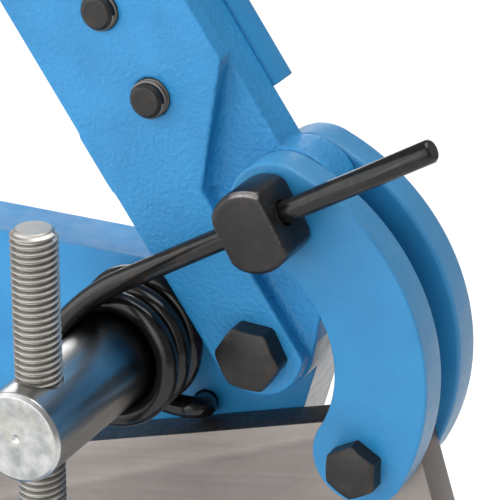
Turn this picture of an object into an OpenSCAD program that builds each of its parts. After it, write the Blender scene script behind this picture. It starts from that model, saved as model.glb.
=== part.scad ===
// Bench lever shear: a hand lever closes a swinging blade through a pair of links.
// Millimetres, +Z up. Origin: centre of the bench bolt pattern, on the bench.
// X runs along the blades to the lever end, Y runs from the operator's side to the back.

/* [Shown part] */
// Which node is drawn

/* [Stand] */
// Height of the lever pivot above the bench
pivot_z = 200; // [190:1:230]
// Distance of the lever pivot from the bolt pattern centre
pivot_x = 80; // [70:1:95]
// Bench bolt spacing along the blades
bench_pitch_x = 185; // [160:1:200]
// Bench bolt spacing across the blades
bench_pitch_y = 116; // [112:1:130]
// Diameter of the bench bolt holes
bench_hole_d = 11; // [9:0.5:13]
// Thickness of the angle feet
foot_t = 8; // [6:0.5:10]
// Length of the angle feet
foot_len = 230; // [220:1:240]
// Height of the angle feet's flanges
foot_flange_h = 44; // [40:1:48]
// Edge of the feet beyond the bench bolts
bench_margin = 20; // [16:1:24]
// Spacing of the bolts that clamp the feet
foot_bolt_pitch = 75; // [68:1:80]
// Thickness of the main frame plate
frame_t = 18; // [14:0.5:22]

/* [Blades] */
// Thickness of the swinging blade
blade_t = 12; // [10:0.5:14]
// Blade pivot to link bolt, along the blade
blade_reach = 225.8; // [222:0.2:230]
// Slope of the blade's top edge with the jaws open
blade_open = 17; // [16:0.25:18]
// Turn of the blade from open to shut
blade_stroke = 9.4; // [9:0.1:10]
// Radius of the blade round its pivot
blade_end_r = 19.5; // [18:0.25:21]
// Link bolt below the blade's top edge
link_drop = 8.6; // [8:0.2:10]
// Blade beyond the link bolt
blade_tip = 12.75; // [11.5:0.25:16]
// Height of the fixed blade
lower_blade_h = 30; // [26:0.5:34]
// Thickness of the fixed blade
lower_blade_t = 12; // [10:0.5:14]
// Length of the fixed blade
lower_blade_len = 198; // [190:1:204]

/* [Lever] */
// Lean of the lever to the left of upright, at rest
lever_lean = 34.3; // [33:0.1:36]
// Thickness of the raised near cheek of the lever
cheek_t = 5.5; // [4:0.25:7]
// Width of the lever to the left of its axis
lever_left = 12.75; // [12.5:0.05:13]
// Width of the lever to the right of its axis
lever_right = 35.6; // [34:0.2:38]
// Height of the cast lever head above its pivot
lever_top = 117; // [112:1:126]
// Thickness of the flat handle bar
bar_flat_t = 9; // [7:0.5:10]
// Width of the flat handle bar
bar_flat_w = 41; // [36:0.5:44]
// Outer diameter of the handle tube
tube_d = 32; // [30:0.5:36]
// Upper end of the handle tube, from the pivot
tube_top = 520; // [420:5:600]
// Outer diameter of the grip
grip_d = 39; // [37:0.5:46]
// Length of the grip
grip_len = 125; // [100:1:150]

/* [Links] */
// Thickness of each link
link_t = 10; // [8:0.5:11]
// Radius of the link's upper end
link_top_r = 13; // [12.8:0.1:14]
// Radius of the link's lower end
link_low_r = 12.9; // [12.4:0.1:13.5]
// Radius of the link's outer edge
link_out_r = 58.5; // [57:0.5:64]
// Radius of the link's inner edge
link_in_r = 31.2; // [30:0.2:34]
// Diameter of the spring pin's head
pin_head_d = 21.75; // [20:0.25:24]
// Height of the spring pin's head
pin_head_h = 15.2; // [15:0.2:18]
// Width across the flats of the spring pin's head
pin_flats = 15.2; // [13:0.2:17]

/* [Return spring and hold-down] */
// Spring wire diameter
wire_d = 6; // [5:0.1:6.2]
// Rise of each spring turn
coil_pitch = 7; // [6.9:0.05:7.3]
// Slope of the spring arm, at rest
arm_slope = 30; // [29.5:0.1:30.5]
// Spring arm beyond the pin
arm_past = 50; // [40:1:60]
// Diameter of the hold-down bar
hold_bar_d = 24; // [22:0.2:24.4]
// Reach of the hold-down bar in front of the shear plane
hold_bar_out = 67; // [60:0.2:80]
// Distance from the bar's end to the hold-down screw
hold_screw_in = 12; // [10:0.5:14]
// Hold-down screw top above the lever pivot
hold_screw_top = 46.8; // [40:0.2:60]
// Hold-down screw length
hold_screw_len = 130; // [126:1:134]

/* [Hidden] */
$fn = 48;

// Fits and gaps
run_fit = 0.05;
hole_play = 0.3;
face_gap = 0.15;
shear_gap = 0.1;
link_gap = 0.25;
frame_gap = 0.5;
round_lap = 0.05;

// Bolt sizes: radius, width across flats, head height, nut height
m8 = [4, 13, 5.3, 6.5];
m10 = [5, 16, 6.4, 8];
m12 = [6, 19, 7.5, 10];
m16 = [8, 24, 10, 13];
washer_t = 2;
pivot_spin = 3;
link_spin = 31;

// Depths, measured back from the shear plane
web_far = blade_t;
near_link_front = -link_gap - link_t;
far_link_back = blade_t + link_gap + link_t;
frame_near = blade_t + frame_gap;
frame_far = frame_near + frame_t;
lower_near = -shear_gap - lower_blade_t;
foot_front = lower_near - foot_t;
shear_y = -(frame_far + lower_near) / 2;

// Link bolt and blade pivot, measured from the lever pivot
link_pt = [30.747, -23.559];
link_eye = link_pt + [0.3, 1.85];
blade_axis_h = blade_end_r - link_drop;
function turn(p, a) = [p[0] * cos(a) - p[1] * sin(a), p[0] * sin(a) + p[1] * cos(a)];
blade_pivot = link_pt - turn([blade_reach, blade_axis_h], blade_open);
blade_x = blade_pivot[0];
blade_z = blade_pivot[1];
blade_len = blade_reach + blade_tip;
shut_slope = blade_open - blade_stroke;
blade_overlap = 2.5;
lower_top = blade_z - blade_end_r + blade_overlap;
lower_base = lower_top - lower_blade_h;
lower_left = blade_x + 30;
lower_over = 17;
bed_right = lower_left + lower_blade_len - lower_over;
bed_left = blade_x - 10;
bed_drop = 12;
lip_drop = 6;
foot_left = -pivot_x - foot_len / 2;
foot_right = -pivot_x + foot_len / 2;
bench_z = -pivot_z;

// Spring pin place, in lever measures across and along the lever
pin_v = 29.7;
pin_u = 30.2;
pin_boss_r = 13.3;
pin_slip = 4.8;
pin_slip_side = 1.7;
pin_edge = 1.3;
pin_flat_off = -0.5;
pin_hole_play = 0.35;
pin_pt = turn([pin_v, pin_u], lever_lean);
clip_y = far_link_back + face_gap + washer_t;
clip_t = 1.5;
clip_r = 8;

// Lever outline: both noses are a little off the pivot, and the left edge swells beside the lower bolt
cheek_nose = [0.5, 1.1];
cheek_nose_r = lever_left + cheek_nose[0] + round_lap;
web_nose = [0.3, 0.2];
web_nose_r = lever_left + web_nose[0] + round_lap + 0.2;
swell_w = 0.55;
swell_u = [50, 57, 69, 71.5];
cheek_low_w = 10.9;
taper_low = 43;
taper_top = 69.6;
web_right = lever_right - 1.1;
bar_low = 56.5;
bar_mid = lever_right - bar_flat_w / 2;
tang_w = 24;
tang_end = 182;
tube_low = 146;
tube_wall = 2.9;
tube_y = web_far + bar_flat_t / 2;
corner_cut = 4;
handle_bolt_u = [69.8, 94.9];
handle_bolt_out = [3.9, 2.8];
handle_bolt_v = bar_mid - 2.8;
bolt_edge = 1.3;
rivet_u = 166;
rivet_r = 3;

// Frame outline
frame_top = 11.4;
frame_shoulder = blade_x + 60;
frame_brow = [blade_x - 14, blade_z + 58];
frame_back = [blade_x - 32, blade_z + 28];
throat_low = lower_base - 5;
throat_end = blade_x + 34;
throat_rise = 24;
throat_top_low = blade_z - 4;
throat_top_high = -62;
throat_cut = [22, 10];
throat_step = 8;
nose_lean = 15.5;

// Hold-down bar and spring coil
coil_play = 0.4;
lever_play = 0.35;
bar_u = 16.27;
coil_r = hold_bar_d / 2 + coil_play + wire_d / 2;
coil_out = coil_r + wire_d / 2;
bar_pt = turn([-lever_left - coil_out - lever_play, bar_u], lever_lean);
bar_edge = 1;
hold_screw_y = -hold_bar_out + hold_screw_in;
spigot_r = 8;
arm_y = -18;
arm_d = [cos(arm_slope), sin(arm_slope)];
arm_n = [-sin(arm_slope), cos(arm_slope)];
arm_lift = 0.4;
arm_off = (pin_pt - bar_pt) * arm_n + arm_lift;
coil_front_y = -21;
bend_open = 45;
bend_r = arm_off + bend_open;
bend_side = sqrt(max(0.01, pow(bend_r - coil_r, 2) - pow(bend_r - arm_off, 2)));
bend_pt = bar_pt - arm_n * (bend_r - arm_off) + arm_d * bend_side;
bend_end = bend_pt + arm_n * bend_r;
coil_from = atan2(bar_pt[1] - bend_pt[1], bar_pt[0] - bend_pt[0]);
arm_in = (pin_pt - bend_end) * arm_d;
arm_rise = (arm_y - coil_front_y) / arm_in;
arm_pt = pin_pt + arm_n * arm_lift;

// Rear leg of the spring: an opened last bend, then a hook back into the frame
leg_from = 222;
leg_to = 273;
leg_r = coil_r + 12.8;
coil_turns = 3;
coil_loose = 1.4;
coil_to = leg_from + coil_turns * 360;
leg_y = coil_front_y + coil_pitch * (coil_to - coil_from) / 360;
leg_axis = bar_pt + (coil_r - leg_r) * [cos(leg_from), sin(leg_from)];
hook_r = 3.8;
hook_start = [leg_axis[0] + leg_r * cos(leg_to), leg_y, leg_axis[1] + leg_r * sin(leg_to)];
hook_a = [-sin(leg_to), 0, cos(leg_to)];
hook_way = [-0.42, 0.86, -0.28] / norm([-0.42, 0.86, -0.28]);
hook_turn = acos(hook_way * hook_a);
hook_b = (hook_way - hook_a * (hook_way * hook_a)) / norm(hook_way - hook_a * (hook_way * hook_a));
hook_end = hook_start + hook_r * (sin(hook_turn) * hook_a + (1 - cos(hook_turn)) * hook_b);
leg_deep = 8;
leg_run = (frame_near + leg_deep - hook_end[1]) / hook_way[1];

// Foot bolts and fixed blade bolts
foot_bolt_x = [for (i = [-1:1]) i * foot_bolt_pitch - pivot_x];
foot_bolt_z = bench_z + foot_flange_h * 0.6;
lower_bolt_x = [for (f = [0.136, 0.5, 0.864]) lower_left + lower_blade_len * f];
lower_bolt_z = lower_base + lower_blade_h * 0.45;

// Places a piece that is measured from the lever pivot
module at_pivot() {
  translate([pivot_x, shear_y, pivot_z]) children();
}

// Plate drawn in X and Z, between two depths
module slab(y0, y1) {
  translate([0, y1, 0]) rotate([90, 0, 0]) linear_extrude(height = y1 - y0) children();
}

// Turns +Z to the given unit direction
module aim(d) {
  rotate([0, acos(d[2]), atan2(d[1], d[0])]) children();
}

// Round bar along Y between two depths
module rod(p, r, y0, y1) {
  translate([p[0], y1, p[1]]) rotate([90, 0, 0]) cylinder(r = r, h = y1 - y0);
}

// Hexagon along Y between two depths
module hexagon(p, af, y0, y1, spin = 0) {
  translate([p[0], y1, p[1]]) rotate([90, spin, 0])
    cylinder(r = af / 2 / cos(30), h = y1 - y0, $fn = 6);
}

// Bolt with its hexagon head at the near end
module near_bolt(p, m, head_y, end_y, spin = 0) {
  hexagon(p, m[1], head_y - m[2], head_y, spin);
  rod(p, m[0], head_y - 0.5, end_y - 1);
  translate([p[0], end_y, p[1]]) rotate([90, 0, 0]) cylinder(r1 = m[0] - 1, r2 = m[0], h = 1);
}

// Nut with a bore that clears its bolt
module nut(p, m, y0, spin = 0) {
  difference() {
    hexagon(p, m[1], y0, y0 + m[3], spin);
    rod(p, m[0] + run_fit, y0 - 1, y0 + m[3] + 1);
  }
}

// Plain washer
module washer(p, m, y0) {
  difference() {
    rod(p, m[0] * 2, y0, y0 + washer_t);
    rod(p, m[0] + run_fit, y0 - 1, y0 + washer_t + 1);
  }
}

// Main plate with the open throat and the round nose at the lever pivot
module frame_plate() {
  edge_top = frame_top - round_lap;
  nose_pt = [edge_top * cos(nose_lean), -edge_top * sin(nose_lean)];
  drop = -throat_top_high - frame_top * sin(nose_lean);
  end_pt = [nose_pt[0] - drop * tan(nose_lean), throat_top_high];
  color("SteelBlue") at_pivot() difference() {
    union() {
      slab(frame_near, frame_far) polygon([[0, edge_top], [frame_shoulder, edge_top], frame_brow,
        frame_back, [frame_back[0], bench_z], [bed_right, bench_z], [bed_right, throat_low],
        [throat_end + throat_cut[0], throat_low], [throat_end, throat_low + throat_rise],
        [throat_end, throat_top_low - throat_step], [throat_end + throat_cut[1], throat_top_low],
        end_pt, nose_pt, [0, 0]]);
      rod([0, 0], frame_top, frame_near, frame_far);
    }
    rod([0, 0], m10[0] + run_fit, frame_near - 1, frame_far + 1);
    rod(blade_pivot, m12[0] + run_fit, frame_near - 1, frame_far + 1);
    rod(bar_pt, spigot_r + run_fit, frame_near - 1, frame_far + 1);
    translate(hook_end) aim(hook_way) cylinder(r = wire_d / 2 + hole_play, h = leg_run + 2);
    for (x = foot_bolt_x)
      rod([x, foot_bolt_z], m10[0] + hole_play, frame_near - 1, frame_far + 1);
  }
}

// Bar between the frame plate and the near foot, under the fixed blade
module bed_bar() {
  color("SteelBlue") at_pivot() difference() {
    slab(lower_near, frame_near) polygon([[bed_left, bench_z], [bed_right, bench_z],
      [bed_right, lower_base], [lower_left, lower_base], [bed_left, lower_base - bed_drop]]);
    for (x = foot_bolt_x)
      rod([x, foot_bolt_z], m10[0] + hole_play, lower_near - 1, frame_near + 1);
  }
}

// Bench bolt holes of one foot, on the given side
module bench_holes(side) {
  for (x = [-1, 1])
    translate([x * bench_pitch_x / 2 - pivot_x, side * bench_pitch_y / 2 - shear_y, bench_z - 1])
      cylinder(r = bench_hole_d / 2, h = foot_t + 2);
}

// Near angle foot, whose tall flange backs the fixed blade
module near_foot() {
  out = -bench_pitch_y / 2 - shear_y - bench_margin;
  color("SteelBlue") at_pivot() difference() {
    union() {
      slab(foot_front, lower_near) polygon([[foot_left, bench_z], [foot_right, bench_z],
        [foot_right, lower_top - lip_drop], [lower_left, lower_top - lip_drop],
        [foot_left, bench_z + foot_flange_h]]);
      translate([foot_left, out, bench_z]) cube([foot_len, foot_front - out + 1, foot_t]);
    }
    bench_holes(-1);
    for (x = foot_bolt_x)
      rod([x, foot_bolt_z], m10[0] + hole_play, foot_front - 1, lower_near + 1);
    for (x = lower_bolt_x)
      rod([x, lower_bolt_z], m8[0] + hole_play, foot_front - 1, lower_near + 1);
  }
}

// Far angle foot
module far_foot() {
  out = bench_pitch_y / 2 - shear_y + bench_margin;
  color("SteelBlue") at_pivot() difference() {
    union() {
      slab(frame_far, frame_far + foot_t) polygon([[foot_left, bench_z], [foot_right, bench_z],
        [foot_right, bench_z + foot_flange_h], [foot_left, bench_z + foot_flange_h]]);
      translate([foot_left, frame_far + foot_t - 1, bench_z])
        cube([foot_len, out - frame_far - foot_t + 1, foot_t]);
    }
    bench_holes(1);
    for (x = foot_bolt_x)
      rod([x, foot_bolt_z], m10[0] + hole_play, frame_far - 1, frame_far + foot_t + 1);
  }
}

// Bolts that clamp the feet, the bed bar and the frame plate together
module foot_bolts() {
  color("Silver") at_pivot() for (x = foot_bolt_x)
    near_bolt([x, foot_bolt_z], m10, foot_front, frame_far + foot_t + m10[3] + 3);
}

// Nuts of the foot bolts
module foot_nuts() {
  color("Silver") at_pivot() for (x = foot_bolt_x)
    nut([x, foot_bolt_z], m10, frame_far + foot_t);
}

// Fixed blade, flush with the shear plane
module lower_blade() {
  color("Gray") at_pivot() difference() {
    slab(lower_near, -shear_gap) polygon([[lower_left, lower_base],
      [lower_left + lower_blade_len, lower_base], [lower_left + lower_blade_len, lower_top],
      [lower_left, lower_top]]);
    for (x = lower_bolt_x)
      rod([x, lower_bolt_z], m8[0] + run_fit, lower_near - 1, 1);
  }
}

// Bolts that hold the fixed blade to the near foot
module lower_blade_bolts() {
  color("Silver") at_pivot() for (x = lower_bolt_x)
    near_bolt([x, lower_bolt_z], m8, foot_front, -shear_gap - 1);
}

// Swinging blade: straight top edge, round pivot end, bowed cutting edge
module upper_blade() {
  low = [-blade_end_r * sin(shut_slope), -blade_end_r * cos(shut_slope)];
  run = (blade_len - low[0]) / cos(shut_slope);
  bow = 2.5;
  edge = [for (i = [0:12]) low + turn([run * i / 12,
    -bow * (1 - pow(2 * i / 12 - 1, 2))], -shut_slope)];
  color("DarkGray") at_pivot() difference() {
    translate([blade_pivot[0], 0, blade_pivot[1]]) rotate([0, -blade_open, 0]) union() {
      slab(0, blade_t) polygon(concat([[0, 0]], edge, [[blade_len, blade_end_r], [0, blade_end_r]]));
      rod([0, 0], blade_end_r, 0, blade_t);
    }
    rod(blade_pivot, m12[0] + run_fit, -1, blade_t + 1);
    rod(link_pt, m8[0] + run_fit, -1, blade_t + 1);
  }
}

// Bolt the blade swings on
module blade_pivot_bolt() {
  color("DimGray") at_pivot()
    near_bolt(blade_pivot, m12, -face_gap - washer_t, frame_far + m12[3] + 3, 12);
}

// Washer between the blade pivot bolt's head and the blade
module blade_pivot_washer() {
  color("DimGray") at_pivot() washer(blade_pivot, m12, -face_gap - washer_t);
}

// Nut of the blade pivot bolt
module blade_pivot_nut() {
  color("DimGray") at_pivot() nut(blade_pivot, m12, frame_far, 12);
}

// Point where a circle round p meets a circle round q, on the side of the lever pivot
function meet(p, rp, q, rq) =
  let (d = norm(q - p), a = (rp * rp - rq * rq + d * d) / (2 * d),
    h = sqrt(rp * rp - a * a), e = (q - p) / d)
  p + e * a + [e[1], -e[0]] * h * sign(e[0] * p[1] - e[1] * p[0]);

// Curved link between the pin and the link bolt, between two depths
module link_body(y0, y1) {
  o = meet(pin_pt, link_out_r - link_top_r, link_eye, link_out_r - link_low_r);
  i = meet(pin_pt, link_in_r + link_top_r, link_eye, link_in_r + link_low_r);
  far = link_out_r * 1.4;
  du = (pin_pt - i) / norm(pin_pt - i);
  dl = (link_eye - i) / norm(link_eye - i);
  dm = (du + dl) / norm(du + dl);
  difference() {
    union() {
      difference() {
        intersection() {
          rod(o, link_out_r - round_lap, y0, y1);
          slab(y0 - 1, y1 + 1)
            polygon([i, i + du * far, i + dm * far * 1.3, i + dl * far]);
        }
        rod(i, link_in_r + round_lap, y0 - 2, y1 + 2);
      }
      rod(pin_pt, link_top_r, y0, y1);
      rod(link_eye, link_low_r, y0, y1);
    }
    rod(pin_pt, m10[0] + run_fit, y0 - 2, y1 + 2);
    rod(link_pt, m8[0] + run_fit, y0 - 2, y1 + 2);
  }
}

// Near link
module near_link() {
  color("SkyBlue") at_pivot() link_body(near_link_front, -link_gap);
}

// Far link
module far_link() {
  color("SkyBlue") at_pivot() link_body(blade_t + link_gap, far_link_back);
}

// Bolt through both links and the blade
module link_bolt() {
  color("DimGray") at_pivot()
    near_bolt(link_pt, m8, near_link_front, far_link_back + m8[3] + 2, link_spin);
}

// Nut of the link bolt
module link_nut() {
  color("DimGray") at_pivot() nut(link_pt, m8, far_link_back, link_spin);
}

// Round nose of the lever between two depths, cut straight at its left and right
module nose(c, r, right, y0, y1) {
  intersection() {
    rod(turn(c, lever_lean), r, y0, y1);
    slab(y0 - 1, y1 + 1) rotate(lever_lean)
      polygon([[-lever_left, -2 * r], [right, -2 * r], [right, 2 * r], [-lever_left, 2 * r]]);
  }
}

// Cast lever head: web between the links, raised near cheek, pin boss
module lever_head() {
  pin = [pin_v, pin_u];
  d = (pin - web_nose) / norm(pin - web_nose);
  b = asin((pin_boss_r - web_nose_r) / norm(pin - web_nose));
  n = [d[1], -d[0]] * cos(b) - d * sin(b);
  slot_half = m10[0] + pin_slip_side - round_lap;
  swell = [[-lever_left, swell_u[0]], [-lever_left - swell_w, swell_u[1]],
    [-lever_left - swell_w, swell_u[2]], [-lever_left, swell_u[3]]];
  color("SkyBlue") at_pivot() difference() {
    union() {
      slab(0, web_far) rotate(lever_lean) polygon(concat([web_nose, [-lever_left, web_nose[1]]], swell,
        [[-lever_left, lever_top], [web_right, lever_top], [web_right, pin_u], pin,
        pin + n * (pin_boss_r - round_lap), web_nose + n * (web_nose_r - round_lap)]));
      nose(web_nose, web_nose_r, 2 * web_nose_r, 0, web_far);
      rod(pin_pt, pin_boss_r, 0, web_far);
      slab(-cheek_t, 0.5) rotate(lever_lean) polygon(concat([[-lever_left, cheek_nose[1]]], swell,
        [[-lever_left, lever_top - corner_cut], [corner_cut - lever_left, lever_top],
        [lever_right - corner_cut, lever_top], [lever_right, lever_top - corner_cut],
        [lever_right, taper_top], [cheek_low_w, taper_low], [cheek_low_w, cheek_nose[1]]]));
      nose(cheek_nose, cheek_nose_r, cheek_low_w, -cheek_t, 0.5);
    }
    rod([0, 0], m10[0] + run_fit, -cheek_t - 1, web_far + 1);
    for (s = [-1, 1])
      rod(pin_pt + [0, s * pin_slip], m10[0] + pin_slip_side, -1, web_far + 1);
    translate([pin_pt[0] - slot_half, -1, pin_pt[1] - pin_slip])
      cube([2 * slot_half, web_far + 2, 2 * pin_slip]);
    for (u = handle_bolt_u)
      rod(turn([handle_bolt_v, u], lever_lean), m10[0] + run_fit, -cheek_t - 1, web_far + 1);
  }
}

// Bolt the lever swings on
module lever_pivot_bolt() {
  color("DimGray") at_pivot() near_bolt([0, 0], m10, -cheek_t - face_gap,
    frame_far + washer_t + m10[3] + 3, pivot_spin);
}

// Washer behind the frame at the lever pivot
module lever_pivot_washer() {
  color("DimGray") at_pivot() washer([0, 0], m10, frame_far);
}

// Nut of the lever pivot bolt
module lever_pivot_nut() {
  color("DimGray") at_pivot() nut([0, 0], m10, frame_far + washer_t, pivot_spin);
}

// Pin through the links, with a flatted head that the spring arm passes through
module spring_pin() {
  base = near_link_front - face_gap;
  face = base - pin_head_h;
  r = pin_head_d / 2;
  color("DimGray") at_pivot() difference() {
    union() {
      intersection() {
        union() {
          rod(pin_pt, r, face + pin_edge, base - pin_edge);
          translate([pin_pt[0], face + pin_edge, pin_pt[1]]) rotate([90, 0, 0])
            cylinder(r1 = r, r2 = r - pin_edge, h = pin_edge);
          translate([pin_pt[0], base, pin_pt[1]]) rotate([90, 0, 0])
            cylinder(r1 = r - pin_edge, r2 = r, h = pin_edge);
        }
        translate([pin_pt[0], base - pin_head_h / 2, pin_pt[1]]) rotate([0, -arm_slope, 0])
          translate([pin_flat_off, 0, 0]) cube([pin_flats, pin_head_h + 2, pin_head_d * 2], center = true);
      }
      rod(pin_pt, m10[0], base - 0.5, clip_y + clip_t + 0.8);
    }
    translate([arm_pt[0], arm_y, arm_pt[1]])
      aim([arm_d[0], arm_rise, arm_d[1]] / norm([1, arm_rise]))
        cylinder(r = wire_d / 2 + pin_hole_play, h = pin_head_d * 2, center = true);
  }
}

// Washer behind the far link at the pin
module pin_washer() {
  color("DimGray") at_pivot() washer(pin_pt, m10, far_link_back + face_gap);
}

// Retaining ring behind the washer of the pin
module pin_clip() {
  color("DimGray") at_pivot() difference() {
    rod(pin_pt, clip_r, clip_y, clip_y + clip_t);
    rod(pin_pt, m10[0] + run_fit, clip_y - 1, clip_y + clip_t + 1);
  }
}

// Centre line of the spring: each entry is a point, its direction and a side direction
function arm_ring(t) = [[arm_pt[0] + arm_d[0] * t, arm_y + arm_rise * t, arm_pt[1] + arm_d[1] * t],
  [-arm_d[0], 0, -arm_d[1]], [0, 1, 0]];
function bend_ring(a) =
  [[bend_pt[0] + bend_r * cos(a), coil_front_y, bend_pt[1] + bend_r * sin(a)],
  [-sin(a), 0, cos(a)], [0, 1, 0]];
coil_rise = coil_pitch / (2 * 3.14159265 * coil_r);
// The last turn stands a little off the bar between its start and the leg
function coil_spread(a) = a < coil_turns * 360 ? 0
  : coil_loose * pow(sin(180 * (a - coil_turns * 360) / leg_from), 2);
function coil_ring(a) =
  let (t = [-sin(a), coil_rise, cos(a)] / sqrt(1 + coil_rise * coil_rise),
    s = [0, 1, 0] - t * t[1], r = coil_r + coil_spread(a))
  [[bar_pt[0] + r * cos(a), coil_front_y + coil_pitch * (a - coil_from) / 360,
    bar_pt[1] + r * sin(a)], t, s / norm(s)];
function leg_ring(a) = [[leg_axis[0] + leg_r * cos(a), leg_y, leg_axis[1] + leg_r * sin(a)],
  [-sin(a), 0, cos(a)], [0, 1, 0]];
function hook_ring(a) = [hook_start + hook_r * (sin(a) * hook_a + (1 - cos(a)) * hook_b),
  cos(a) * hook_a + sin(a) * hook_b, cos(a) * hook_b - sin(a) * hook_a];
function end_ring(t) = [hook_end + hook_way * t, hook_way,
  cos(hook_turn) * hook_b - sin(hook_turn) * hook_a];
coil_steps = ceil((coil_to - coil_from) / 15);
bend_from = 90 + arm_slope;
spring_rings = concat(
  [arm_ring(arm_past), arm_ring(arm_past - wire_d), arm_ring(0), arm_ring(-arm_in / 2)],
  [for (i = [0:7]) bend_ring(bend_from + (coil_from - bend_from) * i / 8)],
  [for (i = [0:coil_steps]) coil_ring(coil_from + (coil_to - coil_from) * i / coil_steps)],
  [for (i = [1:4]) leg_ring(leg_from + (leg_to - leg_from) * i / 5)],
  [for (i = [0:8]) hook_ring(hook_turn * i / 8)],
  [end_ring(leg_run - wire_d), end_ring(leg_run)]);
spring_count = len(spring_rings);
spring_sides = 6;
spring_points = [for (g = spring_rings) for (k = [0:spring_sides - 1])
  let (a = 360 * k / spring_sides + 30, q = cross(g[1], g[2]))
  g[0] + wire_d / 2 * (cos(a) * g[2] + sin(a) * q)];
function ring_at(i, k) = i * spring_sides + k % spring_sides;
spring_faces = concat(
  [for (k = [1:spring_sides - 2]) [0, k, k + 1]],
  [for (i = [0:spring_count - 2]) for (k = [0:spring_sides - 1])
    [ring_at(i, k), ring_at(i + 1, k), ring_at(i, k + 1)]],
  [for (i = [0:spring_count - 2]) for (k = [0:spring_sides - 1])
    [ring_at(i, k + 1), ring_at(i + 1, k), ring_at(i + 1, k + 1)]],
  [for (k = [1:spring_sides - 2]) [ring_at(spring_count - 1, 0),
    ring_at(spring_count - 1, k + 1), ring_at(spring_count - 1, k)]]);
spring_gap = min([for (i = [0:spring_count - 13]) for (j = [i + 12:spring_count - 1])
  norm(spring_rings[i][0] - spring_rings[j][0])]) - wire_d;
echo(spring_gap = spring_gap, pin = pin_pt, blade = blade_pivot, bar = bar_pt, leg_y = leg_y);
echo(coil_from = coil_from, arm_rise = arm_rise, hook = hook_end, arm_in = arm_in);

// Return spring: coil round the hold-down bar, long arm through the pin, leg into the frame
module return_spring() {
  color("Black") at_pivot() polyhedron(points = spring_points, faces = spring_faces, convexity = 10);
}

// Hold-down bar: round bar whose spigot goes through the frame plate
module hold_down_bar() {
  color("Silver") at_pivot() difference() {
    union() {
      rod(bar_pt, hold_bar_d / 2, -hold_bar_out + bar_edge, frame_near);
      translate([bar_pt[0], -hold_bar_out + bar_edge, bar_pt[1]]) rotate([90, 0, 0])
        cylinder(r1 = hold_bar_d / 2, r2 = hold_bar_d / 2 - bar_edge, h = bar_edge);
      rod(bar_pt, spigot_r, frame_near - 0.5, frame_far + m16[3] + 3);
    }
    translate([bar_pt[0], hold_screw_y, bar_pt[1] - hold_bar_d])
      cylinder(r = m12[0] + run_fit, h = hold_bar_d * 2);
    translate([bar_pt[0], -hold_bar_out - 0.01, bar_pt[1]]) rotate([-90, 0, 0])
      cylinder(r1 = 1.2, r2 = 0.3, h = 0.7);
  }
}

// Nut behind the frame that holds the hold-down bar
module hold_down_nut() {
  color("Silver") at_pivot() nut(bar_pt, m16, frame_far, 8);
}

// Hold-down screw with its hexagon head as the foot
module hold_down_screw() {
  low = hold_screw_top - hold_screw_len;
  color("Silver") at_pivot() translate([bar_pt[0], hold_screw_y, 0]) union() {
    translate([0, 0, low]) cylinder(r = m12[1] / 2 / cos(30), h = m12[2], $fn = 6);
    translate([0, 0, low + m12[2] - 0.5]) cylinder(r = m12[0], h = hold_screw_len - m12[2] - 0.7);
    translate([0, 0, hold_screw_top - 1.2]) cylinder(r1 = m12[0], r2 = m12[0] - 1.2, h = 1.2);
  }
}

// Flat bar behind the lever head, narrowed to a tang for the tube
module handle_bar() {
  l = bar_mid - bar_flat_w / 2;
  r = bar_mid + bar_flat_w / 2;
  color("SkyBlue") at_pivot() difference() {
    slab(web_far, web_far + bar_flat_t) rotate(lever_lean) polygon([[l, bar_low], [r, bar_low],
      [r, lever_top + 2], [bar_mid + tang_w / 2, tube_low - 4], [bar_mid + tang_w / 2, tang_end],
      [bar_mid - tang_w / 2, tang_end], [bar_mid - tang_w / 2, tube_low - 4], [l, lever_top + 2]]);
    for (u = handle_bolt_u)
      rod(turn([handle_bolt_v, u], lever_lean), m10[0] + hole_play, web_far - 1,
        web_far + bar_flat_t + 1);
    rod(turn([bar_mid, rivet_u], lever_lean), rivet_r + run_fit, web_far - 1, web_far + bar_flat_t + 1);
  }
}

// Bolts that hold the handle bar to the lever head, their ends standing out in front
module handle_bolts() {
  back = web_far + bar_flat_t;
  color("DimGray") at_pivot() for (i = [0, 1]) {
    p = turn([handle_bolt_v, handle_bolt_u[i]], lever_lean);
    front = -cheek_t - handle_bolt_out[i] + bolt_edge;
    hexagon(p, m10[1], back, back + m10[2], lever_lean);
    rod(p, m10[0], front, back + 0.5);
    translate([p[0], front, p[1]]) rotate([90, 0, 0])
      cylinder(r1 = m10[0], r2 = m10[0] - bolt_edge, h = bolt_edge);
  }
}

// Places a piece whose +Z runs up the handle
module on_handle(u) {
  at_pivot() rotate([0, -lever_lean, 0]) translate([bar_mid, tube_y, u]) children();
}

// Handle tube over the tang
module handle_tube() {
  color("SteelBlue") difference() {
    on_handle(tube_low) difference() {
      cylinder(r = tube_d / 2, h = tube_top - tube_low);
      translate([0, 0, -1]) cylinder(r = tube_d / 2 - tube_wall, h = tube_top - tube_low + 2);
    }
    on_handle(rivet_u) rotate([90, 0, 0]) cylinder(r = rivet_r + run_fit, h = tube_d * 2, center = true);
  }
}

// Rivet through the tube and the tang
module handle_rivet() {
  color("DimGray") on_handle(rivet_u) rotate([90, 0, 0]) union() {
    cylinder(r = rivet_r, h = tube_d + 1, center = true);
    for (s = [-1, 1])
      rotate([s * 90 - 90, 0, 0]) translate([0, 0, tube_d / 2]) cylinder(r1 = 5, r2 = 3.2, h = 2.2);
  }
}

// Grip with a closed end, pushed over the tube
module handle_grip() {
  color("Black") on_handle(tube_top - grip_len) difference() {
    union() {
      cylinder(r = grip_d / 2, h = grip_len + 3);
      translate([0, 0, grip_len + 3]) cylinder(r1 = grip_d / 2, r2 = grip_d / 2 - 4, h = 4);
    }
    translate([0, 0, -1]) cylinder(r = tube_d / 2 + run_fit, h = grip_len + 1);
  }
}

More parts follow.
